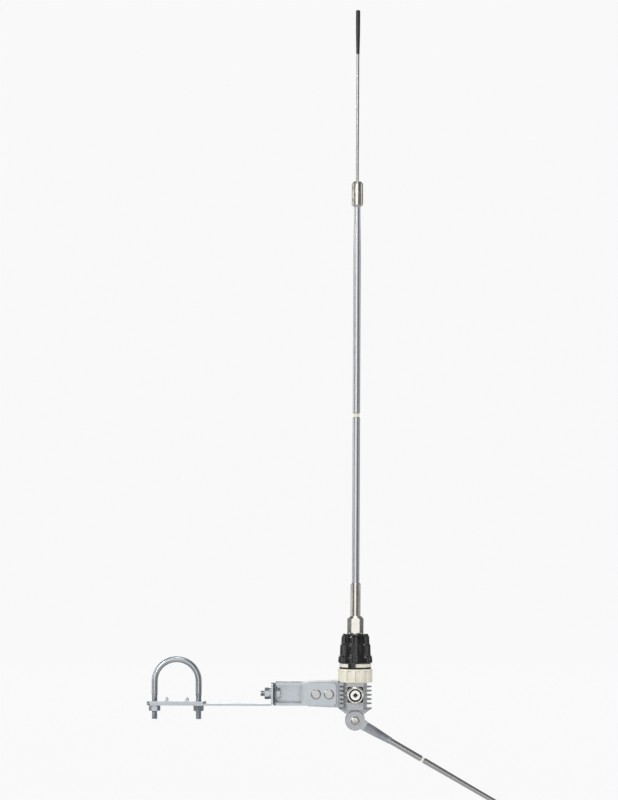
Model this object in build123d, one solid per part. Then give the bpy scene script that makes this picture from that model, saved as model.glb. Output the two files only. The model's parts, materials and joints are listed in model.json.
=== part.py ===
"""Balcony-type omnidirectional antenna: mast clamp, swivel arm, finned housing, whip and drooping radial.

Millimetres. The origin is the centre of the mast in the clamp. +X runs along the arm to the whip, +Z is up
the whip, and -Y is the side that the coaxial connector faces.
"""

import os
from math import radians, sin, sqrt

from build123d import *

# ---------------------------------------------------------------- driving dimensions
MAST_DIA = 38.0  # largest mast that the clamp takes
WHIP_X = 178.5  # mast axis to whip axis
ARM_Z = -11.7  # centre line of the arm, its pivot bolt and the connector
HINGE_Z = -38.2  # axis of the radial's hinge
RADIAL_DROP = 30.0  # degrees below the horizontal
WHIP_TOP = 672.0
RADIAL_LENGTH = 400.0  # hinge axis to tip
THROUGH = 20.0  # half the length of a cutting tool that goes right through

M6_STUD, M6_BORE, M6_HOLE = 5.9, 6.0, 6.6  # thread crest, nut bore and clearance hole
M6_ACROSS_FLATS, M6_NUT_HEIGHT = 10.0, 5.0
M5_SHANK, M5_BORE = 5.0, 5.1
M5_ACROSS_FLATS, M5_NUT_HEIGHT = 8.0, 4.7

# Mast clamp
MAST_R = MAST_DIA / 2
U_ROD_R = 3.0
U_LEG_X = MAST_R + U_ROD_R
U_LEG_BOTTOM = -37.7
U_THREAD_TOP = -14.5
SADDLE_TOP, SADDLE_THICK, SADDLE_WIDTH, SADDLE_HALF = -19.1, 2.4, 30.0, 29.4
TOOTH_X, TOOTH_HALF_BASE, TOOTH_GAP, TOOTH_PITCH = 10.2, 2.4, 1.4, 5.0
STRIP_THICK, STRIP_WIDTH, STRIP_BEND_R = 2.0, 26.0, 1.2
STRIP_TOP = SADDLE_TOP - SADDLE_THICK
STRIP_BOTTOM = STRIP_TOP - STRIP_THICK
LEG_FACE_X = 96.6  # the face of the bracket's upright leg that the arm turns on
STRIP_CORNER_R, LEG_CORNER_R, SADDLE_CORNER_R = 4.0, 5.0, 3.0
WASHER_THICK, WASHER_R = 1.0, 6.0
SPRING_WASHER_THICK, SPRING_WASHER_R = 1.6, 5.6
FLAT_TURN = 30.0  # turns a nut so that a flat faces the front in place of a corner

# Arm
CHANNEL_THICK, CHANNEL_HALF, CHANNEL_HEIGHT, CHANNEL_END = 2.5, 12.5, 22.8, 159.3
CHANNEL_BEND_R, CHANNEL_CORNER_R = 1.5, 3.5
WINDOW_END, WINDOW_HALF_H, WINDOW_CORNER_R = 126.7, 9.0, 2.5
RIVET_X, RIVET_R, RIVET_HEAD_R, RIVET_HEAD_H = (139.4, 152.3), 3.0, 5.1, 2.0
BOLT_HEAD_H, BOLT_END_X = 4.4, 83.9
PIVOT_GAP = 0.05  # between the leg, the web and the bolt's head, so that the arm can turn
WEB_FACE_X = LEG_FACE_X + PIVOT_GAP

# Housing
CORE_HALF, FLAT_HALF, FLAT_Y = 11.7, 8.0, 14.4
PAD_Y, PAD_BOTTOM, PAD_CORNER_R = 15.0, -24.6, 4.0
FIN_R, FIN_THICK, FIN_PITCH, FIN_COUNT, FIN_RIM_R = 16.6, 1.4, 4.2, 5, 0.5
FLOOR_TOP, FLOOR_BOTTOM = -25.2, -26.9
BORE_R, BORE_BOTTOM = 9.6, -23.0
STUB_START, STUB_NOSE, STUB_END = 125.0, 1.5, 160.6
RIM_START, RIM_THIN, RIM_THICK, RIM_ROOT = 131.5, 0.5, 2.0, 1.0
LAP_HALF_H = CHANNEL_HEIGHT / 2 + 0.05  # the web's half height, just over the channel's
CHEEK_START, CHEEK_END, CHEEK_HALF_H = 160.2, 161.2, 12.8
NECK_HALF_Y, NECK_TOP, NECK_BOTTOM = 6.0, ARM_Z + 11.8, ARM_Z - 12.8
SOCKET_HOLE_R, SOCKET_HOLE_BACK = 6.95, -8.0
LUG_HALF_Y, LUG_R, LUG_SHOULDER_Z, CAST_EDGE_R = 4.0, 7.6, -33.0, 0.6

# Coaxial socket, 5/8 inch barrel
BARREL_R, BARREL_BORE_R, BARREL_FRONT, BARREL_BACK = 7.94, 6.5, -27.6, -16.6
SHELL_GASKET_HALF, SHELL_GASKET_THICK = 7.9, 0.8
SHELL_FLANGE_R, SHELL_BOSS_R, SHELL_BOSS_BACK = 8.34, 6.9, -9.8
NOTCH_COUNT, NOTCH_HALF, NOTCH_DEPTH = 8, 0.6, 1.1
DIELECTRIC_R, DIELECTRIC_FRONT = 4.9, -26.0
SOCKET_SEAL_THICK = 2.0
CONTACT_R, CONTACT_BORE_R, CONTACT_BORE_DEPTH, DRILL_POINT = 2.9, 2.0, 11.0, 1.2
CONTACT_RECESS, CONTACT_SLIT_HALF, CONTACT_SLIT_DEPTH = 0.2, 0.25, 6.0
CONTACT_BACK, TAIL_R, TAIL_BACK = -9.4, 1.4, -6.4

# Matching coil
FORMER_FOOT_R, FORMER_FOOT_THICK, FORMER_R, FORMER_HEAD_R, FORMER_TOP = 6.2, 1.5, 3.6, 4.6, -4.6
COIL_R, COIL_WIRE_R, COIL_PITCH, COIL_LOW, COIL_HIGH = 4.25, 0.6, 2.0, -20.6, -6.6

# Base insulator, seal and locking cap
FOOT_R, FOOT_BOTTOM, STUD_HOLE_R, WELL_R, WELL_FLOOR = 9.55, -3.6, 2.05, 4.5, 2.0
COLLAR_R, COLLAR_TOP, COLLAR_GROOVES, GROOVE_DEPTH = 17.2, 13.5, 12, 1.4
GROOVE_LOW, GROOVE_HIGH, FIRST_GROOVE = 1.2, 11.8, 7.5
COLLAR_SEAT_R = COLLAR_R + 0.2
O_RING_R, O_RING_SECTION_R, O_RING_GROOVE = 8.55, 0.69, (7.4, 9.7, 1.4)
GASKET_R, GASKET_TOP = 15.9, 15.1
SEAL_R, SEAL_TOP = 15.8, 18.7
SPINDLE_R, SPINDLE_TOP = 13.0, 36.0
CAP_BOTTOM, CAP_TOP, CAP_BORE_R, CAP_UPPER_BORE_R = 19.3, 48.4, 13.05, 11.3
CAP_RIBS, CAP_RIB_WIDTH, CAP_FIRST_RIB = 18, 3.2, 14.0
TAB_IN, TAB_OUT, TAB_BOTTOM, TAB_SIDES = 16.2, 17.1, 14.3, (-7.3, 0.1)
THRUST_LOW, THRUST_HIGH, THRUST_GAP = 40.1, 41.6, 0.1

# Whip
BASE_R, BASE_ACROSS_FLATS, HEX_BOTTOM, BASE_TOP = 8.1, 14.0, 49.4, 66.0
FLANGE_R, FLANGE_TOP = 11.0, 40.0
SLEEVE_R, SLEEVE_TOP, SLEEVE_BOTTOM = 4.9, 99.0, 56.0
TUBE_R, TUBE_BORE_R, TUBE_BOTTOM = 3.7, 2.5, 46.0
TUBE_NECK_R, TUBE_NECK_BORE_R = 3.1, 1.7
JOINT_LOW, JOINT_HIGH, JOINT_SPACER_R, INSERT_LENGTH = 265.0, 268.4, 3.1, 18.0
COUPLING_R, COUPLING_LOW, COUPLING_HIGH, COUPLING_CHAMFER = 5.7, 475.0, 500.5, 2.1
COUPLING_STEP = COUPLING_LOW + 16
SLIT_TURN, SLIT_WIDTH = -72.0, 0.9
SCREW_HEIGHTS, SCREW_TURN = (482.0, 494.0), -55.0
STUD_R, STUD_DEPTH = 1.2, 12.0
ROD_R, ROD_BOTTOM = 1.5, 430.0

# Radial
EAR_R, EAR_IN, EAR_OUT = 9.9, 4.1, 8.1
HINGE_HEAD_R, HINGE_HEAD_H, HINGE_BOLT_STICKS_OUT = 4.6, 2.4, 7.0
HINGE_WASHER_R, HINGE_WASHER_THICK = 5.8, 1.0
SOCKET_START, SOCKET_END, SOCKET_FLOOR = 11.0, 41.0, 17.5
FORK_HALF, FORK_END_R, SPIGOT_R = 4.7, 3.5, 2.4
RADIAL_R, RADIAL_OUTER_R, RADIAL_TIP_R = 3.0, 2.9, 1.7
RADIAL_JOINT, RADIAL_SPACER_R = (76.8, 79.2), 2.4

UP_Z_TO_X = Rot(0, 90, 0)
UP_Z_TO_Y = Rot(-90, 0, 0)
WHIP_AXIS = Pos(WHIP_X, 0, 0)
CONNECTOR_AXIS = Pos(WHIP_X, 0, ARM_Z) * UP_Z_TO_Y
ARM_AXIS = Pos(0, 0, ARM_Z) * UP_Z_TO_X
HINGE_AXIS = Pos(WHIP_X, 0, HINGE_Z) * UP_Z_TO_Y
RADIAL_AXIS = Pos(WHIP_X, 0, HINGE_Z) * Rot(0, RADIAL_DROP, 0) * UP_Z_TO_X


# ---------------------------------------------------------------- shapes used by several parts
def turned(*points):
    """Solid of revolution about Z from (radius, height) points. A point that repeats the last is dropped."""
    kept = [point for point, last in zip(points, (None, *points)) if point != last]
    outline = Polyline(*[(r, 0, z) for r, z in kept], close=True)
    return revolve(make_face(outline), Axis.Z, 360)


def tube(outer, inner, low, high, edge=0.0):
    """Ring about Z between two heights, with its outer edges chamfered."""
    return turned(
        (inner, low),
        (outer - edge, low),
        (outer, low + edge),
        (outer, high - edge),
        (outer - edge, high),
        (inner, high),
    )


def rod(radius, low, high, edge=0.0):
    """Round bar about Z between two heights, with both ends chamfered."""
    return turned(
        (0, low),
        (radius - edge, low),
        (radius, low + edge),
        (radius, high - edge),
        (radius - edge, high),
        (0, high),
    )


def block(low, high):
    """Box between two opposite corners."""
    size = [b - a for a, b in zip(low, high)]
    middle = [(a + b) / 2 for a, b in zip(low, high)]
    return Pos(*middle) * Box(*size)


def side_plate(points, half_width):
    """Outline of (x, z) points, thickened equally to both sides of the arm's middle plane."""
    outline = Polyline(*[(x, 0, z) for x, z in points], close=True)
    return extrude(make_face(outline), half_width, dir=(0, 1, 0), both=True)


def plan_slab(sketch, low, high):
    """Sketch seen from above, made into a slab between two heights."""
    return Pos(0, 0, low) * extrude(sketch, high - low)


def hexagon(across_flats, low, high):
    """Hexagonal prism about Z whose corners are turned off at both ends."""
    corner_r = across_flats / sqrt(3)
    prism = plan_slab(RegularPolygon(corner_r, 6), low, high)
    turned_off = (corner_r - across_flats / 2) * 0.58
    return prism & turned(
        (0, low),
        (across_flats / 2, low),
        (corner_r, low + turned_off),
        (corner_r, high - turned_off),
        (across_flats / 2, high),
        (0, high),
    )


def hex_nut(across_flats, bore, low, high):
    """Hexagon nut about Z with a plain bore in place of its thread."""
    return hexagon(across_flats, low, high) - rod(bore / 2, low - 1, high + 1)


def pan_head(radius, height, seat):
    """Flat round head about Z with a well rounded rim, standing on the plane z = seat."""
    disc = rod(radius, seat, seat + height)
    return fillet(disc.edges().group_by(Axis.Z)[-1], 0.7 * height)


def ring_seal(centre_r, section_r, height):
    """O-ring about Z."""
    return Pos(0, 0, height) * Torus(centre_r, section_r)


def coil(centre_r, wire_r, pitch, low, high):
    """Round wire wound about Z."""
    path = Pos(0, 0, low) * Helix(pitch, high - low, centre_r)
    section = Plane(path @ 0, z_dir=path % 0) * Circle(wire_r)
    return sweep(section, path, is_frenet=True)


# ---------------------------------------------------------------- mast clamp
def clamp_bracket():
    """Flat strip with an upturned leg, bent from one blank."""
    top = ARM_Z + CHANNEL_HEIGHT / 2
    inner_x = LEG_FACE_X - STRIP_THICK
    strip = side_plate(
        [
            (-SADDLE_HALF, STRIP_BOTTOM),
            (LEG_FACE_X, STRIP_BOTTOM),
            (LEG_FACE_X, top),
            (inner_x, top),
            (inner_x, STRIP_TOP),
            (-SADDLE_HALF, STRIP_TOP),
        ],
        STRIP_WIDTH / 2,
    )
    bends = [
        ((LEG_FACE_X, 0, STRIP_BOTTOM), STRIP_BEND_R + STRIP_THICK),
        ((inner_x, 0, STRIP_TOP), STRIP_BEND_R),
    ]
    for corner, radius in bends:
        strip = fillet(strip.edges().filter_by(Axis.Y).sort_by_distance(corner)[0], radius)
    strip = fillet(strip.edges().filter_by(Axis.Z).group_by(Axis.X)[0], STRIP_CORNER_R)
    strip = fillet(strip.edges().filter_by(Axis.X).group_by(Axis.Z)[-1], LEG_CORNER_R)
    for x in (-U_LEG_X, U_LEG_X):
        strip -= Pos(x, 0, 0) * rod(M6_HOLE / 2, STRIP_BOTTOM - 1, STRIP_TOP + 1)
    return strip - ARM_AXIS * rod(M6_HOLE / 2, inner_x - 1, LEG_FACE_X + 1)


def mast_saddle():
    """Plate with two toothed ridges that grip the mast."""
    plate = block(
        (-SADDLE_HALF, -SADDLE_WIDTH / 2, STRIP_TOP), (SADDLE_HALF, SADDLE_WIDTH / 2, SADDLE_TOP)
    )
    plate = fillet(plate.edges().filter_by(Axis.Z), SADDLE_CORNER_R)
    crest = -sqrt(MAST_R**2 - TOOTH_X**2) - 0.1
    for side in (-1, 1):
        ridge = side_plate(
            [
                (side * (TOOTH_X - TOOTH_HALF_BASE), SADDLE_TOP - 0.5),
                (side * (TOOTH_X + TOOTH_HALF_BASE), SADDLE_TOP - 0.5),
                (side * TOOTH_X, crest),
            ],
            SADDLE_WIDTH / 2 - 1,
        )
        for step in range(-2, 3):
            middle = step * TOOTH_PITCH
            ridge -= block(
                (side * TOOTH_X - 5, middle - TOOTH_GAP / 2, SADDLE_TOP),
                (side * TOOTH_X + 5, middle + TOOTH_GAP / 2, crest + 1),
            )
        plate += ridge
        plate -= Pos(side * U_LEG_X, 0, 0) * rod(M6_HOLE / 2, STRIP_TOP - 1, SADDLE_TOP + 1)
    return plate


def u_bolt():
    """Round bar bent over the mast, with a thread on each leg."""
    legs = [(-U_LEG_X, 0, U_THREAD_TOP), (-U_LEG_X, 0, 0), (U_LEG_X, 0, 0), (U_LEG_X, 0, U_THREAD_TOP)]
    path = Wire(
        [
            Line(legs[0], legs[1]),
            ThreePointArc(legs[1], (0, 0, U_LEG_X), legs[2]),
            Line(legs[2], legs[3]),
        ]
    )
    bolt = sweep(Plane(legs[0], z_dir=(0, 0, 1)) * Circle(U_ROD_R), path)
    for x in (-U_LEG_X, U_LEG_X):
        bolt += Pos(x, 0, 0) * rod(M6_STUD / 2, U_LEG_BOTTOM, U_THREAD_TOP + 0.5, 0.5)
    return bolt


def u_bolt_washers():
    """Two plain washers under the strip."""
    return [
        Pos(x, 0, 0) * tube(WASHER_R, 3.2, STRIP_BOTTOM - WASHER_THICK, STRIP_BOTTOM, 0.2)
        for x in (-U_LEG_X, U_LEG_X)
    ]


def u_bolt_nuts():
    """Two nuts that draw the U-bolt down."""
    high = STRIP_BOTTOM - WASHER_THICK
    nut = hex_nut(M6_ACROSS_FLATS, M6_BORE, high - M6_NUT_HEIGHT, high)
    return [Pos(-U_LEG_X, 0, 0) * nut, Pos(U_LEG_X, 0, 0) * Rot(0, 0, FLAT_TURN) * nut]


# ---------------------------------------------------------------- pivot and arm
def pivot_bolt():
    """Hexagon-head bolt through the arm's web and the bracket's leg."""
    seat = WEB_FACE_X + CHANNEL_THICK + PIVOT_GAP
    head = hexagon(M6_ACROSS_FLATS, seat, seat + BOLT_HEAD_H)
    return ARM_AXIS * (head + rod(M6_STUD / 2, BOLT_END_X, seat + 1, 0.5))


def pivot_spring_washer():
    """Split washer between the leg and the nut."""
    high = LEG_FACE_X - STRIP_THICK
    low = high - SPRING_WASHER_THICK
    ring = tube(SPRING_WASHER_R, M6_HOLE / 2 - 0.2, low, high)
    split = Rot(0, 0, 30) * block((0, -0.5, low - 1), (8, 0.5, high + 1))
    return ARM_AXIS * (ring - split)


def pivot_nut():
    high = LEG_FACE_X - STRIP_THICK - SPRING_WASHER_THICK
    return ARM_AXIS * hex_nut(M6_ACROSS_FLATS, M6_BORE, high - M6_NUT_HEIGHT, high)


def spanner_window():
    """Cutting tool for the opening in the front flange that a spanner reaches the pivot bolt's head through."""
    opening = block(
        (WEB_FACE_X + CHANNEL_THICK, -CHANNEL_HALF - 1, ARM_Z - WINDOW_HALF_H),
        (WINDOW_END, -CHANNEL_HALF + CHANNEL_THICK + 1, ARM_Z + WINDOW_HALF_H),
    )
    return fillet(opening.edges().filter_by(Axis.Y), WINDOW_CORNER_R)


def arm_channel():
    """U-section channel. Its web turns on the bracket, and its flanges hold the housing's stub."""
    half_height = CHANNEL_HEIGHT / 2
    low, high = ARM_Z - half_height, ARM_Z + half_height
    outer = block((WEB_FACE_X, -CHANNEL_HALF, low), (CHANNEL_END, CHANNEL_HALF, high))
    outer = fillet(
        outer.edges().filter_by(Axis.Z).group_by(Axis.X)[0], CHANNEL_BEND_R + CHANNEL_THICK
    )
    inside_y = CHANNEL_HALF - CHANNEL_THICK
    inner = block(
        (WEB_FACE_X + CHANNEL_THICK, -inside_y, low - 1), (CHANNEL_END + 5, inside_y, high + 1)
    )
    inner = fillet(inner.edges().filter_by(Axis.Z).group_by(Axis.X)[0], CHANNEL_BEND_R)
    channel = outer - inner
    channel = fillet(channel.edges().filter_by(Axis.Y).group_by(Axis.X)[-1], CHANNEL_CORNER_R)
    channel -= spanner_window()
    for x in RIVET_X:
        channel -= Pos(x, 0, ARM_Z) * UP_Z_TO_Y * rod(RIVET_R, -THROUGH, THROUGH)
    return channel - ARM_AXIS * rod(M6_HOLE / 2, WEB_FACE_X - 1, WEB_FACE_X + CHANNEL_THICK + 1)


def arm_rivets():
    """Two rivets with pan heads, through both flanges and the stub."""
    one = rod(RIVET_R, -CHANNEL_HALF - 0.5, CHANNEL_HALF + 0.5)
    head = pan_head(RIVET_HEAD_R, RIVET_HEAD_H, CHANNEL_HALF)
    one = one + head + Rot(180, 0, 0) * head
    return [Pos(x, 0, ARM_Z) * UP_Z_TO_Y * one for x in RIVET_X]


# ---------------------------------------------------------------- housing
def core_plan():
    """Square of the housing's core with its corners cut off, seen from above."""
    corner_y = FLAT_Y - (CORE_HALF - FLAT_HALF)
    quarter = [(CORE_HALF, corner_y), (FLAT_HALF, FLAT_Y)]
    right = [(x, -y) for x, y in reversed(quarter)] + quarter
    left = [(-x, y) for x, y in reversed(right)]
    return make_face(Polyline(*right, *left, close=True))


def fin(low, high):
    """Disc with rounded rims, and flats at the front and back that meet the core's flats."""
    disc = plan_slab(Circle(FIN_R) & Rectangle(2 * FIN_R, 2 * FLAT_Y), low, high)
    return fillet(disc.edges().group_by(Axis.Z)[0] + disc.edges().group_by(Axis.Z)[-1], FIN_RIM_R)


def front_pad():
    """Raised pad under the socket, with its two lower corners rounded."""
    pad = block((-FLAT_HALF, -PAD_Y, PAD_BOTTOM), (FLAT_HALF, -FLAT_Y + 1, 0))
    return fillet(pad.edges().filter_by(Axis.Y).group_by(Axis.Z)[0], PAD_CORNER_R)


def stub_rim(side):
    """Tapered rim that laps over the edges of both flanges, above the web for side 1 and below it for -1."""

    def height(rise):
        return ARM_Z + side * (LAP_HALF_H + rise)

    root_x = WHIP_X - CORE_HALF
    rim = side_plate(
        [
            (RIM_START, height(0)),
            (RIM_START, height(RIM_THIN)),
            (root_x, height(RIM_THICK)),
            (root_x, height(-RIM_ROOT)),
            (STUB_END, height(-RIM_ROOT)),
            (STUB_END - RIM_ROOT, height(0)),
        ],
        CHANNEL_HALF,
    )
    wide = block((RIM_START, -CHANNEL_HALF, -50), (CHEEK_END, CHANNEL_HALF, 50))
    narrow = block((CHEEK_START, -NECK_HALF_Y, -50), (WHIP_X, NECK_HALF_Y, 50))
    return rim & (wide + narrow)


def stub():
    """Arm stub: a web between the channel's flanges, two rims over their edges, a cheek and a neck."""
    low, high = ARM_Z - LAP_HALF_H, ARM_Z + LAP_HALF_H
    web = side_plate(
        [
            (STUB_START - STUB_NOSE, ARM_Z),
            (STUB_START, high - STUB_NOSE),
            (STUB_START + STUB_NOSE, high),
            (STUB_END, high),
            (STUB_END, low),
            (STUB_START + STUB_NOSE, low),
            (STUB_START, low + STUB_NOSE),
        ],
        CHANNEL_HALF - CHANNEL_THICK,
    )
    cheek = block(
        (CHEEK_START, -CHANNEL_HALF, ARM_Z - CHEEK_HALF_H), (CHEEK_END, CHANNEL_HALF, ARM_Z + LAP_HALF_H)
    )
    neck = block((STUB_END - 1, -NECK_HALF_Y, NECK_BOTTOM), (WHIP_X, NECK_HALF_Y, NECK_TOP))
    return web + stub_rim(1) + stub_rim(-1) + cheek + neck


def hinge_lug():
    """Tongue under the floor, tapered from the fins' width to a round end on the hinge axis."""
    taper = side_plate(
        [
            (WHIP_X - FIN_R + 0.5, FLOOR_BOTTOM + 0.5),
            (WHIP_X - LUG_R, LUG_SHOULDER_Z),
            (WHIP_X - LUG_R, HINGE_Z),
            (WHIP_X + LUG_R, HINGE_Z),
            (WHIP_X + LUG_R, LUG_SHOULDER_Z),
            (WHIP_X + FIN_R - 0.5, FLOOR_BOTTOM + 0.5),
        ],
        LUG_HALF_Y,
    )
    lug = taper + HINGE_AXIS * rod(LUG_R, -LUG_HALF_Y, LUG_HALF_Y)
    return fillet(lug.edges().group_by(Axis.Y)[0] + lug.edges().group_by(Axis.Y)[-1], CAST_EDGE_R)


def housing():
    """One casting: finned core, arm stub and hinge lug, bored for the coil and the socket."""
    body = plan_slab(core_plan(), FLOOR_BOTTOM, 0)
    for number in range(1, FIN_COUNT + 1):
        middle = -number * FIN_PITCH
        body += fin(middle - FIN_THICK / 2, middle + FIN_THICK / 2)
    body += fin(FLOOR_BOTTOM, FLOOR_TOP)
    body = WHIP_AXIS * (body + front_pad()) + stub() + hinge_lug()
    body -= WHIP_AXIS * rod(BORE_R, BORE_BOTTOM, 1)
    body -= WHIP_AXIS * rod(COLLAR_SEAT_R, 0, THROUGH)
    body -= CONNECTOR_AXIS * rod(SOCKET_HOLE_R, -PAD_Y - 1, SOCKET_HOLE_BACK)
    body -= HINGE_AXIS * rod(M5_BORE / 2, -THROUGH, THROUGH)
    for x in RIVET_X:
        body -= Pos(x, 0, ARM_Z) * UP_Z_TO_Y * rod(RIVET_R, -THROUGH, THROUGH)
    return body


# ---------------------------------------------------------------- coaxial socket
def connector_gasket():
    """Square rubber washer between the socket's flange and the housing."""
    square = fillet(Rectangle(2 * SHELL_GASKET_HALF, 2 * SHELL_GASKET_HALF).vertices(), 1.5)
    slab = plan_slab(square, -PAD_Y - SHELL_GASKET_THICK, -PAD_Y)
    return CONNECTOR_AXIS * (slab - rod(SOCKET_HOLE_R, -THROUGH, 0))


def connector_shell():
    """Barrel with notches in its rim, a thin flange, and a boss that screws into the housing."""
    flange_back = -PAD_Y - SHELL_GASKET_THICK
    shell = turned(
        (BARREL_BORE_R, BARREL_FRONT),
        (BARREL_R - 0.5, BARREL_FRONT),
        (BARREL_R, BARREL_FRONT + 0.5),
        (BARREL_R, BARREL_BACK),
        (SHELL_FLANGE_R, BARREL_BACK),
        (SHELL_FLANGE_R, flange_back),
        (SHELL_BOSS_R, flange_back),
        (SHELL_BOSS_R, SHELL_BOSS_BACK),
        (DIELECTRIC_R, SHELL_BOSS_BACK),
        (DIELECTRIC_R, BARREL_BACK),
        (BARREL_BORE_R, BARREL_BACK),
    )
    cutter = block(
        (-THROUGH, -NOTCH_HALF, BARREL_FRONT - 1), (THROUGH, NOTCH_HALF, BARREL_FRONT + NOTCH_DEPTH)
    )
    step = 360 / NOTCH_COUNT
    for number in range(NOTCH_COUNT // 2):
        shell -= Rot(0, 0, (number + 0.5) * step) * cutter
    return CONNECTOR_AXIS * shell


def connector_insulator():
    """White dielectric between barrel and contact."""
    return CONNECTOR_AXIS * tube(DIELECTRIC_R, CONTACT_R, DIELECTRIC_FRONT, CONTACT_BACK + 0.4, 0.2)


def socket_seal():
    """Black ring at the bottom of the barrel, which a plug's sleeve presses on."""
    return CONNECTOR_AXIS * tube(BARREL_BORE_R, DIELECTRIC_R, BARREL_BACK - SOCKET_SEAL_THICK, BARREL_BACK)


def connector_contact():
    """Centre contact: a slotted tube in front and a solder tail behind."""
    front = DIELECTRIC_FRONT + CONTACT_RECESS
    contact = turned(
        (CONTACT_BORE_R, front),
        (CONTACT_R, front),
        (CONTACT_R, CONTACT_BACK),
        (TAIL_R, CONTACT_BACK),
        (TAIL_R, TAIL_BACK),
        (0, TAIL_BACK),
        (0, front + CONTACT_BORE_DEPTH + DRILL_POINT),
        (CONTACT_BORE_R, front + CONTACT_BORE_DEPTH),
    )
    slit = block(
        (-CONTACT_R - 1, -CONTACT_SLIT_HALF, front - 1),
        (CONTACT_R + 1, CONTACT_SLIT_HALF, front + CONTACT_SLIT_DEPTH),
    )
    return CONNECTOR_AXIS * (contact - slit - Rot(0, 0, 90) * slit)


# ---------------------------------------------------------------- matching coil
def coil_former():
    """Bobbin that stands on the floor of the housing's bore."""
    return WHIP_AXIS * turned(
        (0, BORE_BOTTOM),
        (FORMER_FOOT_R, BORE_BOTTOM),
        (FORMER_FOOT_R, BORE_BOTTOM + FORMER_FOOT_THICK),
        (FORMER_R, BORE_BOTTOM + FORMER_FOOT_THICK),
        (FORMER_R, FORMER_TOP - 1),
        (FORMER_HEAD_R, FORMER_TOP - 1),
        (FORMER_HEAD_R, FORMER_TOP),
        (0, FORMER_TOP),
    )


def matching_coil():
    """Enamelled copper wire on the former."""
    return WHIP_AXIS * coil(COIL_R, COIL_WIRE_R, COIL_PITCH, COIL_LOW, COIL_HIGH)


def feed_lead():
    """Short wire from the socket's tail to the coil."""
    return CONNECTOR_AXIS * rod(COIL_WIRE_R, TAIL_BACK, -COIL_R - COIL_WIRE_R - 0.15)


def earth_lead():
    """Short wire from the coil's lower end to the housing."""
    return WHIP_AXIS * Pos(0, 0, COIL_LOW) * UP_Z_TO_X * rod(0.55, COIL_R + COIL_WIRE_R + 0.05, BORE_R)


# ---------------------------------------------------------------- base insulator, contact and cap
def base_insulator():
    """Nylon spindle with a grooved collar. The cap screws on its upper part."""
    spindle = turned(
        (STUD_HOLE_R, FOOT_BOTTOM),
        (FOOT_R, FOOT_BOTTOM),
        (FOOT_R, 0),
        (COLLAR_R - 0.5, 0),
        (COLLAR_R, 0.5),
        (COLLAR_R, COLLAR_TOP - 0.9),
        (COLLAR_R - 0.9, COLLAR_TOP),
        (SPINDLE_R, COLLAR_TOP),
        (SPINDLE_R, SPINDLE_TOP - 0.8),
        (SPINDLE_R - 0.8, SPINDLE_TOP),
        (WELL_R, SPINDLE_TOP),
        (WELL_R, WELL_FLOOR),
        (STUD_HOLE_R, WELL_FLOOR),
    )
    groove_width = 2 * COLLAR_R * sin(radians(90 / COLLAR_GROOVES))
    groove_floor = COLLAR_R - GROOVE_DEPTH
    groove = block(
        (groove_floor, -groove_width / 2, GROOVE_LOW), (COLLAR_R + 2, groove_width / 2, GROOVE_HIGH)
    )
    for number in range(COLLAR_GROOVES):
        spindle -= Rot(0, 0, FIRST_GROOVE + number * 360 / COLLAR_GROOVES) * groove
    inner, outer, depth = O_RING_GROOVE
    seat = tube(outer, inner, SPINDLE_TOP - depth, SPINDLE_TOP + 1)
    return WHIP_AXIS * (spindle - seat)


def whip_o_ring():
    """Seal between the insulator's top and the whip's flange."""
    return WHIP_AXIS * ring_seal(O_RING_R, O_RING_SECTION_R, SPINDLE_TOP - O_RING_GROOVE[2] / 2)


def weather_gasket():
    """Rubber ring round the spindle, under the seal ring."""
    return WHIP_AXIS * tube(GASKET_R, SPINDLE_R, COLLAR_TOP, GASKET_TOP, 0.3)


def seal_ring():
    """Pale ring round the spindle, which the cap's rim comes down to."""
    return WHIP_AXIS * tube(SEAL_R, SPINDLE_R, GASKET_TOP, SEAL_TOP, 0.3)


def contact_stud():
    """Brass stud through the insulator's floor, down to the coil."""
    return WHIP_AXIS * (rod(2.0, -4.6, 3.0) + rod(4.2, 2.0, 4.0, 0.3))


def contact_spring():
    """Compression spring under the plunger, with its ends on the two flat faces."""
    return WHIP_AXIS * coil(3.3, 0.45, 2.2, 4.5, 25.5)


def contact_plunger():
    """Brass plunger that the spring holds against the whip."""
    return WHIP_AXIS * turned(
        (0, 20.0),
        (2.2, 20.0),
        (2.2, 26.0),
        (4.3, 26.0),
        (4.3, 29.0),
        (2.6, 29.0),
        (2.6, SPINDLE_TOP - 0.4),
        (2.2, SPINDLE_TOP),
        (0, SPINDLE_TOP),
    )


def thrust_washer():
    """Ring that rises with the cap and keeps it from rubbing on the whip's flange."""
    return WHIP_AXIS * tube(FLANGE_R, BASE_R + 0.1, THRUST_LOW, THRUST_HIGH)


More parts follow.
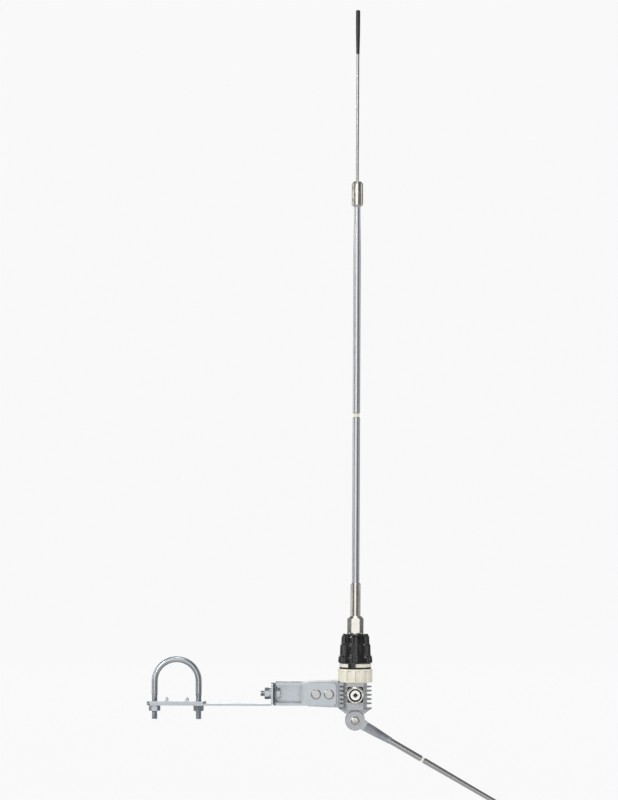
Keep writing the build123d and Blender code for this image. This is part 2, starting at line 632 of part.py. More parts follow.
def lock_cap():
    """Hand nut: a cone with stepped grip ribs all round and a pointer tab on its rim."""
    bore_step = SPINDLE_TOP + 0.4
    shoulder = THRUST_HIGH + THRUST_GAP
    cone = turned(
        (CAP_BORE_R, CAP_BOTTOM),
        (15.7, CAP_BOTTOM),
        (16.0, CAP_BOTTOM + 0.5),
        (15.8, 24.6),
        (14.6, 26.4),
        (14.2, bore_step + 0.8),
        (13.0, 38.6),
        (12.6, CAP_TOP - 3.6),
        (11.6, CAP_TOP - 0.8),
        (10.8, CAP_TOP),
        (BASE_R + 0.1, CAP_TOP),
        (BASE_R + 0.1, shoulder),
        (CAP_UPPER_BORE_R, shoulder),
        (CAP_UPPER_BORE_R, bore_step),
        (CAP_BORE_R, bore_step),
    )
    outline = Polyline(
        (11.0, 0, CAP_TOP),
        (12.2, 0, CAP_TOP),
        (13.3, 0, CAP_TOP - 1.8),
        (13.9, 0, 44.9),
        (14.1, 0, 38.5),
        (15.1, 0, 37.1),
        (15.4, 0, 27.1),
        (16.7, 0, 25.3),
        (17.1, 0, CAP_BOTTOM + 0.7),
        (16.5, 0, CAP_BOTTOM),
        (14.2, 0, CAP_BOTTOM),
        (13.6, 0, 37.0),
        (12.0, 0, 39.4),
        close=True,
    )
    rib = extrude(make_face(outline), CAP_RIB_WIDTH / 2, dir=(0, 1, 0), both=True)
    for number in range(CAP_RIBS):
        cone += Rot(0, 0, CAP_FIRST_RIB + number * 360 / CAP_RIBS) * rib
    sector = block((TAB_SIDES[0], -20, TAB_BOTTOM), (TAB_SIDES[1], 0, CAP_BOTTOM + 2))
    tab = tube(TAB_OUT, TAB_IN, TAB_BOTTOM - 1, CAP_BOTTOM + 0.7) & sector
    tab += tube(TAB_OUT, 15.0, CAP_BOTTOM + 0.2, CAP_BOTTOM + 0.7) & sector
    return WHIP_AXIS * (cone + tab)


# ---------------------------------------------------------------- whip
def whip_base():
    """Base with a flange under the cap's shoulder, a round shank and a hexagon for a wrench."""
    base = turned(
        (0, SPINDLE_TOP),
        (FLANGE_R, SPINDLE_TOP),
        (FLANGE_R, FLANGE_TOP),
        (BASE_R, FLANGE_TOP),
        (BASE_R, HEX_BOTTOM),
        (0, HEX_BOTTOM),
    )
    hexagonal = hexagon(BASE_ACROSS_FLATS, HEX_BOTTOM - 1, BASE_TOP + 2)
    hexagonal &= turned(
        (0, HEX_BOTTOM - 1),
        (BASE_R, HEX_BOTTOM - 1),
        (BASE_R, BASE_TOP - 2.8),
        (BASE_R - 2.4, BASE_TOP),
        (0, BASE_TOP),
    )
    bore = turned(
        (0, TUBE_BOTTOM),
        (TUBE_R, TUBE_BOTTOM),
        (TUBE_R, SLEEVE_BOTTOM),
        (SLEEVE_R, SLEEVE_BOTTOM),
        (SLEEVE_R, BASE_TOP + 1),
        (0, BASE_TOP + 1),
    )
    return WHIP_AXIS * (base + hexagonal - bore)


def whip_sleeve():
    """Crimped sleeve that holds the tube in the base."""
    return WHIP_AXIS * tube(SLEEVE_R, TUBE_R, SLEEVE_BOTTOM, SLEEVE_TOP, 0.8)


def lower_tube():
    return WHIP_AXIS * tube(TUBE_R, TUBE_BORE_R, TUBE_BOTTOM, JOINT_LOW, 0.9)


def upper_tube():
    """Upper tube, drawn down at its top to fit the coupling."""
    return WHIP_AXIS * turned(
        (TUBE_BORE_R, JOINT_HIGH),
        (TUBE_R - 0.9, JOINT_HIGH),
        (TUBE_R, JOINT_HIGH + 0.9),
        (TUBE_R, COUPLING_LOW - 45),
        (TUBE_NECK_R, COUPLING_LOW - 3),
        (TUBE_NECK_R, COUPLING_STEP),
        (TUBE_NECK_BORE_R, COUPLING_STEP),
        (TUBE_NECK_BORE_R, COUPLING_LOW - 3),
        (TUBE_BORE_R, COUPLING_LOW - 45),
    )


def joint_insert(radius, face, direction):
    """Plug for a tube or rod end, tapped for the stud. It starts at its face and runs in along the direction."""
    low, high = sorted((face, face + direction * INSERT_LENGTH))
    tap_low, tap_high = sorted((face - direction, face + direction * STUD_DEPTH))
    return rod(radius, low, high) - rod(STUD_R, tap_low, tap_high)


def lower_joint_insert():
    """Tapped plug in the top of the lower tube."""
    return WHIP_AXIS * joint_insert(TUBE_BORE_R, JOINT_LOW, -1)


def upper_joint_insert():
    """Tapped plug in the foot of the upper tube."""
    return WHIP_AXIS * joint_insert(TUBE_BORE_R, JOINT_HIGH, 1)


def joint_stud():
    """Stud that screws the two tubes together."""
    return WHIP_AXIS * rod(STUD_R, JOINT_LOW - STUD_DEPTH, JOINT_HIGH + STUD_DEPTH)


def joint_spacer():
    """Pale ring between the ends of the two tubes."""
    return WHIP_AXIS * tube(JOINT_SPACER_R, STUD_R, JOINT_LOW, JOINT_HIGH)


def screw_location(height):
    """Frame at the coupling's wall, with +Z pointing out along a set screw."""
    return WHIP_AXIS * Pos(0, 0, height) * Rot(0, 0, SCREW_TURN) * Rot(90, 0, 0)


def tip_coupling():
    """Slit sleeve that joins the upper tube to the tuning rod."""
    rod_bore = ROD_R + 0.05
    body = turned(
        (TUBE_NECK_R, COUPLING_LOW),
        (COUPLING_R - COUPLING_CHAMFER, COUPLING_LOW),
        (COUPLING_R, COUPLING_LOW + COUPLING_CHAMFER),
        (COUPLING_R, COUPLING_HIGH - COUPLING_CHAMFER),
        (COUPLING_R - COUPLING_CHAMFER, COUPLING_HIGH),
        (rod_bore, COUPLING_HIGH),
        (rod_bore, COUPLING_STEP),
        (TUBE_NECK_R, COUPLING_STEP),
    )
    slit = block((0, -SLIT_WIDTH / 2, COUPLING_LOW - 1), (8, SLIT_WIDTH / 2, COUPLING_HIGH + 1))
    body = WHIP_AXIS * (body - Rot(0, 0, SLIT_TURN) * slit)
    for height, depth in zip(SCREW_HEIGHTS, (TUBE_NECK_R, rod_bore)):
        body -= screw_location(height) * rod(1.5, depth - 0.1, COUPLING_R + 1)
    return body


def coupling_screws():
    """Socket set screws: one on the rod, one on the tube."""
    screws = []
    for height, tip in zip(SCREW_HEIGHTS, (TUBE_NECK_R, ROD_R + 0.05)):
        screw = rod(1.5, tip, COUPLING_R - 0.1, 0.2)
        socket = plan_slab(RegularPolygon(0.85, 6), COUPLING_R - 1.5, COUPLING_R + 1)
        screws.append(screw_location(height) * (screw - socket))
    return screws


def tuning_rod():
    return WHIP_AXIS * rod(ROD_R, ROD_BOTTOM, WHIP_TOP - 2, 0.3)


def rod_tip_cap():
    """Moulded cap that tapers down onto the rod."""
    return WHIP_AXIS * turned(
        (ROD_R, WHIP_TOP - 44),
        (ROD_R + 0.2, WHIP_TOP - 44),
        (2.15, WHIP_TOP - 20),
        (2.2, WHIP_TOP - 1.2),
        (1.6, WHIP_TOP - 0.3),
        (0.8, WHIP_TOP),
        (0, WHIP_TOP),
        (0, WHIP_TOP - 2),
        (ROD_R, WHIP_TOP - 2),
    )


# ---------------------------------------------------------------- radial
def radial_fork():
    """Two ears on the hinge, joined to a tapered socket for the rod. Built along its own axis."""
    root = fillet(Rectangle(2 * FORK_HALF, 2 * EAR_OUT).vertices(), 2.6)
    waist = fillet(Rectangle(2 * FORK_HALF - 0.4, 11.6).vertices(), 3.6)
    sections = [
        Plane.XY.offset(SOCKET_START) * root,
        Plane.XY.offset(21.0) * waist,
        Plane.XY.offset(SOCKET_END - 3) * Circle(FORK_END_R),
    ]
    fork = loft(sections) + rod(FORK_END_R, SOCKET_END - 3.5, SOCKET_END)
    for side in (-1, 1):
        low, high = sorted((side * EAR_IN, side * EAR_OUT))
        fork += UP_Z_TO_Y * rod(EAR_R, low, high, 0.5)
        fork += block((-FORK_HALF, low, 0), (FORK_HALF, high, SOCKET_START + 1))
    fork -= UP_Z_TO_Y * rod(M5_SHANK / 2 + 0.01, -THROUGH, THROUGH)
    fork -= rod(SPIGOT_R, SOCKET_FLOOR, SOCKET_END + 1)
    return RADIAL_AXIS * fork


def hinge_bolt():
    """Pan-head bolt through both ears and the lug."""
    seat = EAR_OUT + HINGE_WASHER_THICK
    shank = rod(M5_SHANK / 2, -seat - 0.5, seat + HINGE_BOLT_STICKS_OUT, 0.4)
    head = Rot(180, 0, 0) * pan_head(HINGE_HEAD_R, HINGE_HEAD_H, seat)
    return HINGE_AXIS * (shank + head)


def hinge_washers():
    """One washer under the bolt's head and one under its nut."""
    washer = tube(HINGE_WASHER_R, M5_SHANK / 2 + 0.01, EAR_OUT, EAR_OUT + HINGE_WASHER_THICK, 0.2)
    return [HINGE_AXIS * Rot(180, 0, 0) * washer, HINGE_AXIS * washer]


def hinge_nut():
    low = EAR_OUT + HINGE_WASHER_THICK
    return HINGE_AXIS * hex_nut(M5_ACROSS_FLATS, M5_SHANK + 0.02, low, low + M5_NUT_HEIGHT)


def radial_inner_rod():
    """First rod, with a spigot for the fork's socket."""
    face = RADIAL_JOINT[0]
    bar = turned(
        (0, SOCKET_FLOOR),
        (SPIGOT_R, SOCKET_FLOOR),
        (SPIGOT_R, SOCKET_END),
        (RADIAL_R, SOCKET_END),
        (RADIAL_R, face - 0.7),
        (RADIAL_R - 0.7, face),
        (0, face),
    )
    return RADIAL_AXIS * (bar - rod(STUD_R, face - STUD_DEPTH, face + 1))


def radial_outer_rod():
    """Second rod, tapered towards its tip."""
    face, tip = RADIAL_JOINT[1], RADIAL_LENGTH - 3
    bar = turned(
        (0, face),
        (RADIAL_OUTER_R - 0.7, face),
        (RADIAL_OUTER_R, face + 0.7),
        (RADIAL_OUTER_R - 0.4, face + 55),
        (RADIAL_TIP_R, RADIAL_LENGTH - 14),
        (RADIAL_TIP_R, tip),
        (0, tip),
    )
    return RADIAL_AXIS * (bar - rod(STUD_R, face - 1, face + STUD_DEPTH))


def radial_joint_stud():
    """Stud that screws the two rods together."""
    low, high = RADIAL_JOINT
    return RADIAL_AXIS * rod(STUD_R, low - STUD_DEPTH, high + STUD_DEPTH)


def radial_joint_spacer():
    """Pale ring between the ends of the two rods."""
    return RADIAL_AXIS * tube(RADIAL_SPACER_R, STUD_R, *RADIAL_JOINT)


def radial_tip_cap():
    """Moulded ball-ended cap."""
    low, high = RADIAL_LENGTH - 14, RADIAL_LENGTH
    return RADIAL_AXIS * turned(
        (RADIAL_TIP_R, low),
        (2.3, low),
        (2.6, high - 2.0),
        (2.1, high - 0.7),
        (1.1, high),
        (0, high),
        (0, high - 3),
        (RADIAL_TIP_R, high - 3),
    )


NODES = [
    clamp_bracket,
    mast_saddle,
    u_bolt,
    u_bolt_washers,
    u_bolt_nuts,
    pivot_bolt,
    pivot_spring_washer,
    pivot_nut,
    arm_channel,
    arm_rivets,
    housing,
    connector_gasket,
    connector_shell,
    connector_insulator,
    socket_seal,
    connector_contact,
    coil_former,
    matching_coil,
    feed_lead,
    earth_lead,
    base_insulator,
    whip_o_ring,
    weather_gasket,
    seal_ring,
    contact_stud,
    contact_spring,
    contact_plunger,
    thrust_washer,
    lock_cap,
    whip_base,
    whip_sleeve,
    lower_tube,
    upper_tube,
    lower_joint_insert,
    upper_joint_insert,
    joint_stud,
    joint_spacer,
    tip_coupling,
    coupling_screws,
    tuning_rod,
    rod_tip_cap,
    radial_fork,
    hinge_bolt,
    hinge_washers,
    hinge_nut,
    radial_inner_rod,
    radial_outer_rod,
    radial_joint_stud,
    radial_joint_spacer,
    radial_tip_cap,
]

os.makedirs("parts", exist_ok=True)
for build in NODES:
    shape = build()
    if isinstance(shape, list):
        shape = Compound(children=shape)
    export_step(shape, f"parts/{build.__name__}.step")
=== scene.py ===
"""Looks of the omnidirectional antenna: threads, moulded and cast pieces, finishes and a pale studio.

Everything is in metres in the part's own frame. Lengths written as n * MM are millimetres.
"""

import json
from math import atan2, pi, radians, tau

import bpy
import numpy as np
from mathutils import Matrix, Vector


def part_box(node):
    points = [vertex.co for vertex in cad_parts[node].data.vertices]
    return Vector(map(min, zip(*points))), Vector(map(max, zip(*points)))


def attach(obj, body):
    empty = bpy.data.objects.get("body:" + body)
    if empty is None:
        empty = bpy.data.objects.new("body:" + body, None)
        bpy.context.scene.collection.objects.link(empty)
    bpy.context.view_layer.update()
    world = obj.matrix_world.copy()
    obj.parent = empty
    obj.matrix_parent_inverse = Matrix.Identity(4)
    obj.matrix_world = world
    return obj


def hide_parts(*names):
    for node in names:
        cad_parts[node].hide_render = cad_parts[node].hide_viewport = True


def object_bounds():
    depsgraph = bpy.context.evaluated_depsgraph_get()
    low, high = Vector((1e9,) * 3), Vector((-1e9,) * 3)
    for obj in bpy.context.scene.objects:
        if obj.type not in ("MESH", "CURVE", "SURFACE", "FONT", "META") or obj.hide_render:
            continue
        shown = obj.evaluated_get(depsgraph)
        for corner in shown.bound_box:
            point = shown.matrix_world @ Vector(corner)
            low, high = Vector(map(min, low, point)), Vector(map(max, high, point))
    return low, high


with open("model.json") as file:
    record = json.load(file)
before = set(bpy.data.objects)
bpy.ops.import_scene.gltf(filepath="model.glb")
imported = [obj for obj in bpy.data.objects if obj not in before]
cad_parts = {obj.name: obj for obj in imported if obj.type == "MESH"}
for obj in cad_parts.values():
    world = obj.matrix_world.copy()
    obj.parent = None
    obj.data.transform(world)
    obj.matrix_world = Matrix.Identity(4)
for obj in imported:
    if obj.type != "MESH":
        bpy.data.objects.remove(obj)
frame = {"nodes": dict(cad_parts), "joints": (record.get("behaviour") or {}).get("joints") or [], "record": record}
cad_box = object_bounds()

MM = 0.001
JOINTS = {joint["name"]: joint for joint in frame["joints"]}
BODY_OF = {node: body for body, nodes in frame["record"]["behaviour"]["bodies"].items() for node in nodes}
SLOTS = {part["node"]: part["material_slot"] for part in frame["record"]["subparts"]}


# ------------------------------------------------------------------ materials
def linear(colour):
    """Linear RGBA of an sRGB hex colour."""
    channels = np.array([int(colour[i : i + 2], 16) for i in (1, 3, 5)]) / 255
    bright = ((channels + 0.055) / 1.055) ** 2.4
    return (*np.where(channels <= 0.04045, channels / 12.92, bright), 1.0)


def add(tree, kind, settings=None, **links):
    """Adds one node. Settings name its sockets or properties, and links name the sockets that feed it."""
    node = tree.nodes.new(kind)
    for name, value in (settings or {}).items():
        if name in node.inputs:
            node.inputs[name].default_value = value
        else:
            setattr(node, name, value)
    for name, source in links.items():
        tree.links.new(source, node.inputs[name.replace("_", " ")])
    return node


def new_material(name, colour, **settings):
    """A material whose shader has the given base colour and socket values. Returns it and its tree."""
    material = bpy.data.materials.new(name)
    material.use_nodes = True
    shader = material.node_tree.nodes["Principled BSDF"]
    shader.inputs["Base Color"].default_value = linear(colour)
    for socket, value in settings.items():
        shader.inputs[socket.replace("_", " ")].default_value = value
    return material, material.node_tree, shader


def grain(tree, size, detail=3.0, stretch=(1, 1, 1), lean=0.0):
    """Noise whose lumps are about size metres across, drawn out along an axis by a small stretch value.

    A lean turns the coordinates about +Y first, so the pattern itself turns by as much the other way.
    """
    place = add(tree, "ShaderNodeTexCoord").outputs["Object"]
    if lean:
        place = add(tree, "ShaderNodeMapping", {"Rotation": (0, lean, 0)}, Vector=place).outputs[0]
    mapped = add(tree, "ShaderNodeMapping", {"Scale": stretch}, Vector=place)
    settings = {"Scale": 1 / size, "Detail": detail, "Roughness": 0.55}
    return add(tree, "ShaderNodeTexNoise", settings, Vector=mapped.outputs[0]).outputs["Fac"]


NOISE_LOW, NOISE_HIGH = 0.3, 0.7  # nearly all of a noise factor lies between these
TONES_START, TONES_END = 0.35, 0.65  # part of a noise factor over which one tone runs into the other


def spread(tree, factor, low, high):
    """A noise factor widened to the range low to high, for roughness."""
    settings = {"From Min": NOISE_LOW, "From Max": NOISE_HIGH, "To Min": low, "To Max": high}
    return add(tree, "ShaderNodeMapRange", settings, Value=factor).outputs[0]


def two_tones(tree, factor, first, second):
    """Colour that runs from the first to the second sRGB tone with the factor."""
    ramp = add(tree, "ShaderNodeValToRGB", Fac=factor)
    stops = ramp.color_ramp.elements
    for stop, position, tone in zip(stops, (TONES_START, TONES_END), (first, second)):
        stop.position = position
        stop.color = linear(tone)
    return ramp.outputs[0]


def relief(tree, height, depth, normal=None):
    """Bump of a given depth in metres. A second bump can be laid on a first."""
    links = {"Height": height}
    if normal:
        links["Normal"] = normal
    return add(tree, "ShaderNodeBump", {"Strength": 1.0, "Distance": depth}, **links).outputs[0]


def zinc_plated_steel():
    """Zinc plate on rolled steel: a pale, slightly blue metal with cloudy passivation and a fine grain."""
    material, tree, shader = new_material("zinc_plated_steel", "#C3C8CC", Metallic=1.0)
    clouds = grain(tree, 9 * MM, 4.0)
    fine = grain(tree, 0.5 * MM, 2.0)
    tree.links.new(two_tones(tree, clouds, "#BDC3C8", "#CCD0D2"), shader.inputs["Base Color"])
    tree.links.new(spread(tree, clouds, 0.27, 0.37), shader.inputs["Roughness"])
    tree.links.new(relief(tree, fine, 0.012 * MM), shader.inputs["Normal"])
    return material


def stainless_steel(name="drawn_stainless_steel", lean=0.0):
    """Drawn stainless steel: darker and warmer than zinc, with drawing lines along Z or at a lean to it."""
    material, tree, shader = new_material(name, "#C0BFBC", Metallic=1.0)
    lines = grain(tree, 0.4 * MM, 3.0, (1, 1, 0.002), lean)
    tree.links.new(two_tones(tree, lines, "#B3B2B0", "#CFCECB"), shader.inputs["Base Color"])
    tree.links.new(spread(tree, lines, 0.2, 0.3), shader.inputs["Roughness"])
    tree.links.new(relief(tree, lines, 0.005 * MM), shader.inputs["Normal"])
    return material


def die_cast_aluminium():
    """Die-cast aluminium, tumbled: a light satin grey with a fine skin and faint flow marks."""
    material, tree, shader = new_material("die_cast_aluminium", "#C6C8CA", Metallic=1.0)
    flow = grain(tree, 14 * MM, 3.0)
    skin = grain(tree, 0.35 * MM, 2.0)
    tree.links.new(two_tones(tree, flow, "#BCBFC2", "#D2D3D3"), shader.inputs["Base Color"])
    tree.links.new(spread(tree, flow, 0.36, 0.5), shader.inputs["Roughness"])
    fine = relief(tree, skin, 0.02 * MM)
    tree.links.new(relief(tree, flow, 0.08 * MM, fine), shader.inputs["Normal"])
    return material


def nickel_plate():
    """Nickel plate on turned brass: bright and a little warm, with fine turning rings."""
    material, tree, shader = new_material("nickel_plated_brass", "#D2CDC4", Metallic=1.0)
    rings = grain(tree, 0.3 * MM, 2.0, (0.05, 0.05, 1))
    smudges = grain(tree, 11 * MM, 2.0)
    tree.links.new(two_tones(tree, smudges, "#C8C3BA", "#DCD8D0"), shader.inputs["Base Color"])
    tree.links.new(spread(tree, smudges, 0.14, 0.24), shader.inputs["Roughness"])
    tree.links.new(relief(tree, rings, 0.008 * MM), shader.inputs["Normal"])
    return material


def turned_brass():
    """Bare turned brass: yellow, with faint tarnish."""
    material, tree, shader = new_material("turned_brass", "#D8B66A", Metallic=1.0)
    tarnish = grain(tree, 5 * MM, 3.0)
    tree.links.new(two_tones(tree, tarnish, "#C79F52", "#E0C27C"), shader.inputs["Base Color"])
    tree.links.new(spread(tree, tarnish, 0.2, 0.36), shader.inputs["Roughness"])
    return material


def enamelled_copper():
    """Enamelled copper wire: red-brown metal under a clear varnish."""
    material, tree, shader = new_material(
        "enamelled_copper", "#B8683C", Metallic=1.0, Coat_Weight=0.6, Coat_Roughness=0.12
    )
    tint = grain(tree, 3 * MM)
    tree.links.new(two_tones(tree, tint, "#A65A32", "#C87A4A"), shader.inputs["Base Color"])
    tree.links.new(spread(tree, tint, 0.22, 0.34), shader.inputs["Roughness"])
    return material


def moulded_plastic(name, dark, light, rough, grain_size, grain_depth, **settings):
    """Injection-moulded plastic: two near tones in slow clouds and a sparked fine grain."""
    material, tree, shader = new_material(name, dark, **settings)
    clouds = grain(tree, 12 * MM, 2.0)
    sparks = grain(tree, grain_size, 2.0)
    tree.links.new(two_tones(tree, clouds, dark, light), shader.inputs["Base Color"])
    tree.links.new(spread(tree, sparks, *rough), shader.inputs["Roughness"])
    tree.links.new(relief(tree, sparks, grain_depth), shader.inputs["Normal"])
    return material


def black_nylon():
    """Black glass-filled nylon: a slightly glossy black with a fine moulded grain and narrow highlights."""
    return moulded_plastic(
        "black_glass_filled_nylon", "#121213", "#1A1A1B", (0.17, 0.28), 0.45 * MM, 0.01 * MM, IOR=1.58
    )


def pale_nylon():
    """Natural nylon: off-white, slightly waxy, with light reaching a little way in."""
    return moulded_plastic(
        "natural_nylon",
        "#CFCBBC",
        "#DAD6C8",
        (0.36, 0.5),
        0.6 * MM,
        0.015 * MM,
        Subsurface_Weight=0.12,
        Subsurface_Radius=(2 * MM, 1.8 * MM, 1.4 * MM),
        Subsurface_Scale=1.0,
        IOR=1.53,
    )


def ptfe():
    """White fluoropolymer: a waxy pure white."""
    return moulded_plastic("white_ptfe", "#DEDEDA", "#E8E8E4", (0.4, 0.52), 0.5 * MM, 0.01 * MM, IOR=1.35)


def rubber():
    """Black rubber: matt, with a dusty bloom."""
    return moulded_plastic("black_rubber", "#1A1A1A", "#262625", (0.68, 0.82), 0.5 * MM, 0.02 * MM)


def anodised_aluminium():
    """Clear anodised drawn aluminium tube: a pale satin metal with straight drawing lines along Z."""
    material, tree, shader = new_material("anodised_aluminium", "#D4D5D7", Metallic=1.0)
    lines = grain(tree, 0.5 * MM, 3.0, (1, 1, 0.002))
    tree.links.new(two_tones(tree, lines, "#CACBCD", "#DBDCDE"), shader.inputs["Base Color"])
    tree.links.new(spread(tree, lines, 0.24, 0.36), shader.inputs["Roughness"])
    tree.links.new(relief(tree, lines, 0.012 * MM), shader.inputs["Normal"])
    return material


FINISHES = {
    "zinc_steel": zinc_plated_steel(),
    "stainless": stainless_steel(),
    "cast_aluminium": die_cast_aluminium(),
    "nickel_brass": nickel_plate(),
    "brass": turned_brass(),
    "copper": enamelled_copper(),
    "black_nylon": black_nylon(),
    "pale_nylon": pale_nylon(),
    "ptfe": ptfe(),
    "rubber": rubber(),
    "anodised_aluminium": anodised_aluminium(),
}


def dress(thing, finish):
    """Gives a mesh object one material."""
    thing.data.materials.clear()
    thing.data.materials.append(FINISHES[finish])


for node, thing in frame["nodes"].items():
    dress(thing, SLOTS[node])

# The radial's rods slant, and they have their own copy of the steel. Its lines lean as far as the rods do but
# to the other side, so they cross the rods at 60 degrees. The opposite lean would lay them along the rods.
radial_low, radial_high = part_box("radial_outer_rod")
RADIAL_LEAN = atan2(radial_high[0] - radial_low[0], radial_low[2] - radial_high[2])
for node in ("radial_inner_rod", "radial_outer_rod"):
    frame["nodes"][node].data.materials[0] = stainless_steel("drawn_stainless_steel_slanted", RADIAL_LEAN)


# ------------------------------------------------------------------ surfaces
def box_mm(node):
    """Lowest and highest corners of a CAD node, in millimetres."""
    return [np.array(corner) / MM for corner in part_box(node)]


WHIP_X = JOINTS["cap_turn"]["pos_m"][0] / MM
ARM_Z = JOINTS["arm_swivel"]["pos_m"][2] / MM
HINGE_Z = JOINTS["radial_fold"]["pos_m"][2] / MM


def on_whip(points):
    """Points about Z, moved onto the whip's axis."""
    return points + [WHIP_X, 0, 0]


def on_arm(points):
    """Points about Z, turned so that Z runs along the arm, and moved onto the pivot's axis."""
    return np.stack([points[..., 2], points[..., 1], ARM_Z - points[..., 0]], -1)


def across(points, height):
    """Points about Z, turned so that Z runs along +Y, and moved under the whip at a height."""
    return np.stack([points[..., 0] + WHIP_X, points[..., 2], height - points[..., 1]], -1)


def smoothstep(value):
    """0 below 0, 1 above 1, and 3 v^2 - 2 v^3 between."""
    value = np.clip(value, 0, 1)
    return value * value * (3 - 2 * value)


def turn(radius, height, angle):
    """Points about Z: x = radius times the angle's cosine, y = radius times its sine, z = height."""
    radius, height, angle = np.broadcast_arrays(radius, height, angle)
    return np.stack([radius * np.cos(angle), radius * np.sin(angle), height], -1)


def all_round(columns):
    """Evenly spaced angles of a full turn, as one row."""
    return np.arange(columns)[None, :] * tau / columns


def follow(corners, spacing):
    """Points of a polyline no further apart than the spacing, as columns of radius and height."""
    rows = [np.array(corners[:1], float)]
    for start, end in zip(corners, corners[1:]):
        steps = max(1, int(np.ceil(np.hypot(*np.subtract(end, start)) / spacing)))
        share = np.arange(1, steps + 1)[:, None] / steps
        rows.append(np.array(start) + share * np.subtract(end, start))
    rows = np.concatenate(rows)
    return rows[:, :1], rows[:, 1:]


def quads(rows, columns, close_rows):
    """Corner numbers of a grid's quads. Columns close round, and rows do too on a ring."""
    row = np.arange(rows if close_rows else rows - 1)[:, None]
    column = np.arange(columns)[None, :]
    row_after, column_after = (row + 1) % rows, (column + 1) % columns
    corners = [
        row * columns + column,
        row * columns + column_after,
        row_after * columns + column_after,
        row_after * columns + column,
    ]
    return np.stack(np.broadcast_arrays(*corners), -1).reshape(-1, 4).tolist()


def ring_skin(points):
    """Points and faces of a grid that closes both ways, such as a bored piece."""
    return points.reshape(-1, 3), quads(*points.shape[:2], True)


def bar_skin(points):
    """Points and faces of a grid that closes round, with a fan to a middle point over each end."""
    rows, columns = points.shape[:2]
    ring = np.arange(columns)
    after = (ring + 1) % columns
    middle, last = rows * columns, (rows - 1) * columns
    foot = np.stack([np.full(columns, middle), after, ring], -1)
    head = np.stack([np.full(columns, middle + 1), last + ring, last + after], -1)
    ends = np.stack([points[0].mean(0), points[-1].mean(0)])
    faces = quads(rows, columns, False) + foot.tolist() + head.tolist()
    return np.concatenate([points.reshape(-1, 3), ends]), faces


SHARP_EDGE = radians(32)
NEARLY = 0.01  # millimetres of slack where rows are told apart by their radius


def piece_for(node, skin, name=None):
    """Mesh object from a skin in millimetres that stands for a CAD node, with the same body and finish."""
    points, faces = skin
    mesh = bpy.data.meshes.new(name or node + "_detailed")
    mesh.from_pydata(points * MM, [], faces)
    mesh.shade_smooth()
    mesh.set_sharp_from_angle(angle=SHARP_EDGE)
    piece = bpy.data.objects.new(mesh.name, mesh)
    bpy.context.scene.collection.objects.link(piece)
    dress(piece, SLOTS[node])
    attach(piece, BODY_OF[node])
    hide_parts(node)
    return piece


THREAD_DEPTH = 0.61  # share of the pitch
THREAD_FLANK, THREAD_FLAT = 2.6, 0.15  # slope of the wave's flanks, and how far flat crests cut it down


def thread(height, angle, crest, pitch, low, high):
    """Radius of a right-hand thread between two heights.

    The wave of height / pitch - angle / turn has flattened crests and roots. The radius is the crest's less
    the thread's depth times the wave, and the wave fades out over half a pitch at both ends.
    """
    phase = (height / pitch - angle / tau) % 1
    wave = np.clip(THREAD_FLANK * np.abs(phase - 0.5) - THREAD_FLAT, 0, 1)
    fade = np.clip(2 * (height - low) / pitch, 0, 1) * np.clip(2 * (high - height) / pitch, 0, 1)
    return crest - THREAD_DEPTH * pitch * wave * fade


def hexagonal(limit, angle, across_flats):
    """Radius of a hexagon, or the limit if that is less.

    It is half the width across flats over the cosine of the angle from the nearest flat's middle.
    """
    from_flat = angle % (tau / 6) - tau / 12
    return np.minimum(limit, across_flats / 2 / np.cos(from_flat))


# ------------------------------------------------------------------ fasteners
M6_PITCH, M6_CREST, M6_ACROSS_FLATS = 1.0, 2.95, 10.0
M5_PITCH, M5_CREST = 0.8, 2.5
END_CHAMFER = 0.6
ROWS_PER_PITCH = 8


def thread_rows(low, high, pitch):
    """Heights through a thread, with the same number of rows in each pitch."""
    return np.arange(low, high, pitch / ROWS_PER_PITCH)[:, None]


def u_bolt(thread_length=23.2, shoulder_length=1.5, plain_rows=110, columns=48):
    """Round bar carried up one leg, over a half circle and down the other.

    The place along the bar is a distance s. The bar's middle is the leg below the half circle, and the bend's
    angle is (s - leg) / radius, held between 0 and pi. Both legs have a thread cut from their ends, and a
    smooth shoulder leads from it to the plain bar.
    """
    low, high = box_mm("u_bolt")
    bar_r = high[1]
    bend_r = high[0] - bar_r
    leg = -low[2]
    length = 2 * leg + pi * bend_r
    cut = thread_rows(0, thread_length, M6_PITCH)
    plain = np.linspace(thread_length, length - thread_length, plain_rows)[:, None]
    s = np.concatenate([cut, plain, length - cut[::-1]])
    angle = all_round(columns)
    bend = np.clip((s - leg) / bend_r, 0, pi)
    below = np.minimum(s - leg, 0) + np.minimum(length - leg - s, 0)
    from_end = np.minimum(s, length - s)
    cut_r = thread(s, angle, M6_CREST, M6_PITCH, 0, length)
    shoulder = smoothstep((from_end - thread_length) / shoulder_length)
    radius = cut_r + (bar_r - cut_r) * shoulder
    radius = np.minimum(radius, M6_CREST - END_CHAMFER + from_end)
    out = radius * np.cos(angle)
    x = -(bend_r + out) * np.cos(bend)
    z = (bend_r + out) * np.sin(bend) + below
    points = np.stack([x, np.broadcast_to(-radius * np.sin(angle), x.shape), z], -1)
    return piece_for("u_bolt", bar_skin(points))


